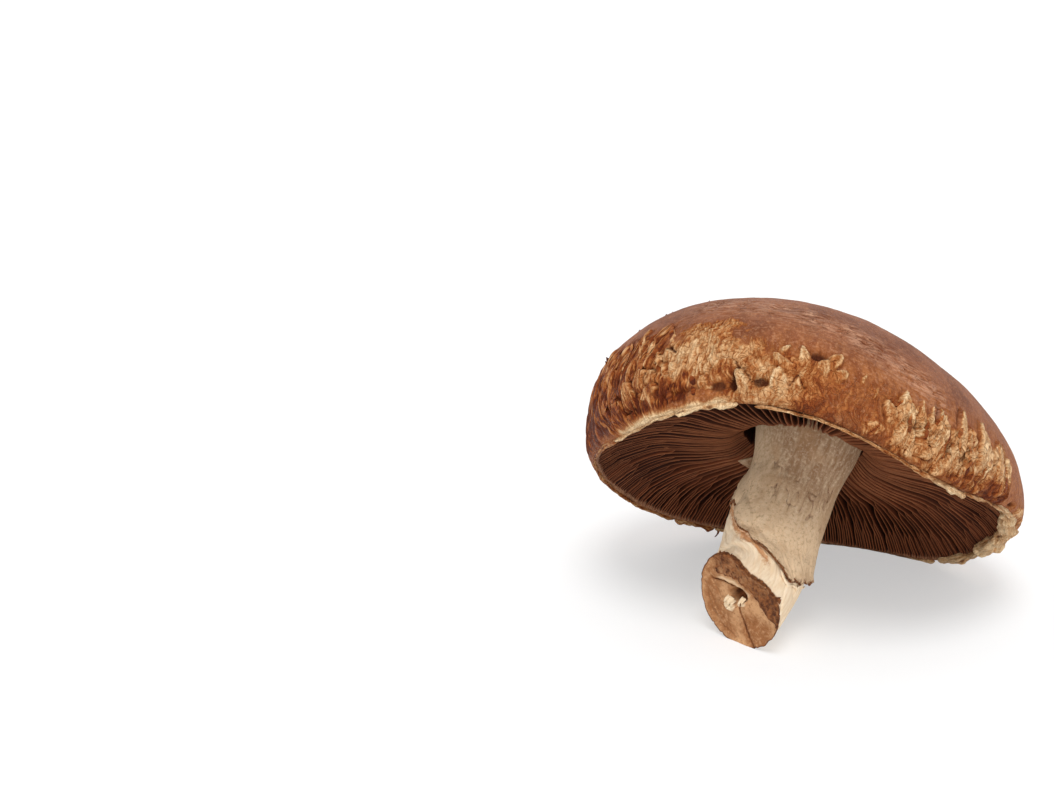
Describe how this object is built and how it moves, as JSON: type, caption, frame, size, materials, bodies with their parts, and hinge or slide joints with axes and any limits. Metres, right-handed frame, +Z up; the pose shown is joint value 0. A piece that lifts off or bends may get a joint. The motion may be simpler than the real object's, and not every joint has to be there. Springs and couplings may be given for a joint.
{
  "type": "portobello mushroom",
  "caption": "Large brown mushroom lying as picked: domed cap with torn, scaly skin over dark radial gills, a bent pale stem with a ragged ring, and a cut, browned base.",
  "frame": {"origin": "on the table under the middle of the lying mushroom's bounding box", "axes": "+Z up from the table, +X to the right along the cap's width, -Y towards the cut end of the stem"},
  "size_m": [0.11, 0.1008, 0.0833],
  "materials": {
    "cap_skin": "reddish-brown, finely fibrous skin with a soft sheen, torn into flakes over cream flesh towards the rim",
    "gill_tissue": "matt chocolate-brown paper-thin blades with paler edges",
    "stem_flesh": "matt greyish cream with lengthwise fibres, browned and cracked at the cut",
    "veil": "matt cream felt with a ragged brown edge"
  },
  "bodies": {
    "root": {"cap": "cap_skin", "gills": "gill_tissue", "stem": "stem_flesh", "ring": "veil"}
  },
  "joints": []
}
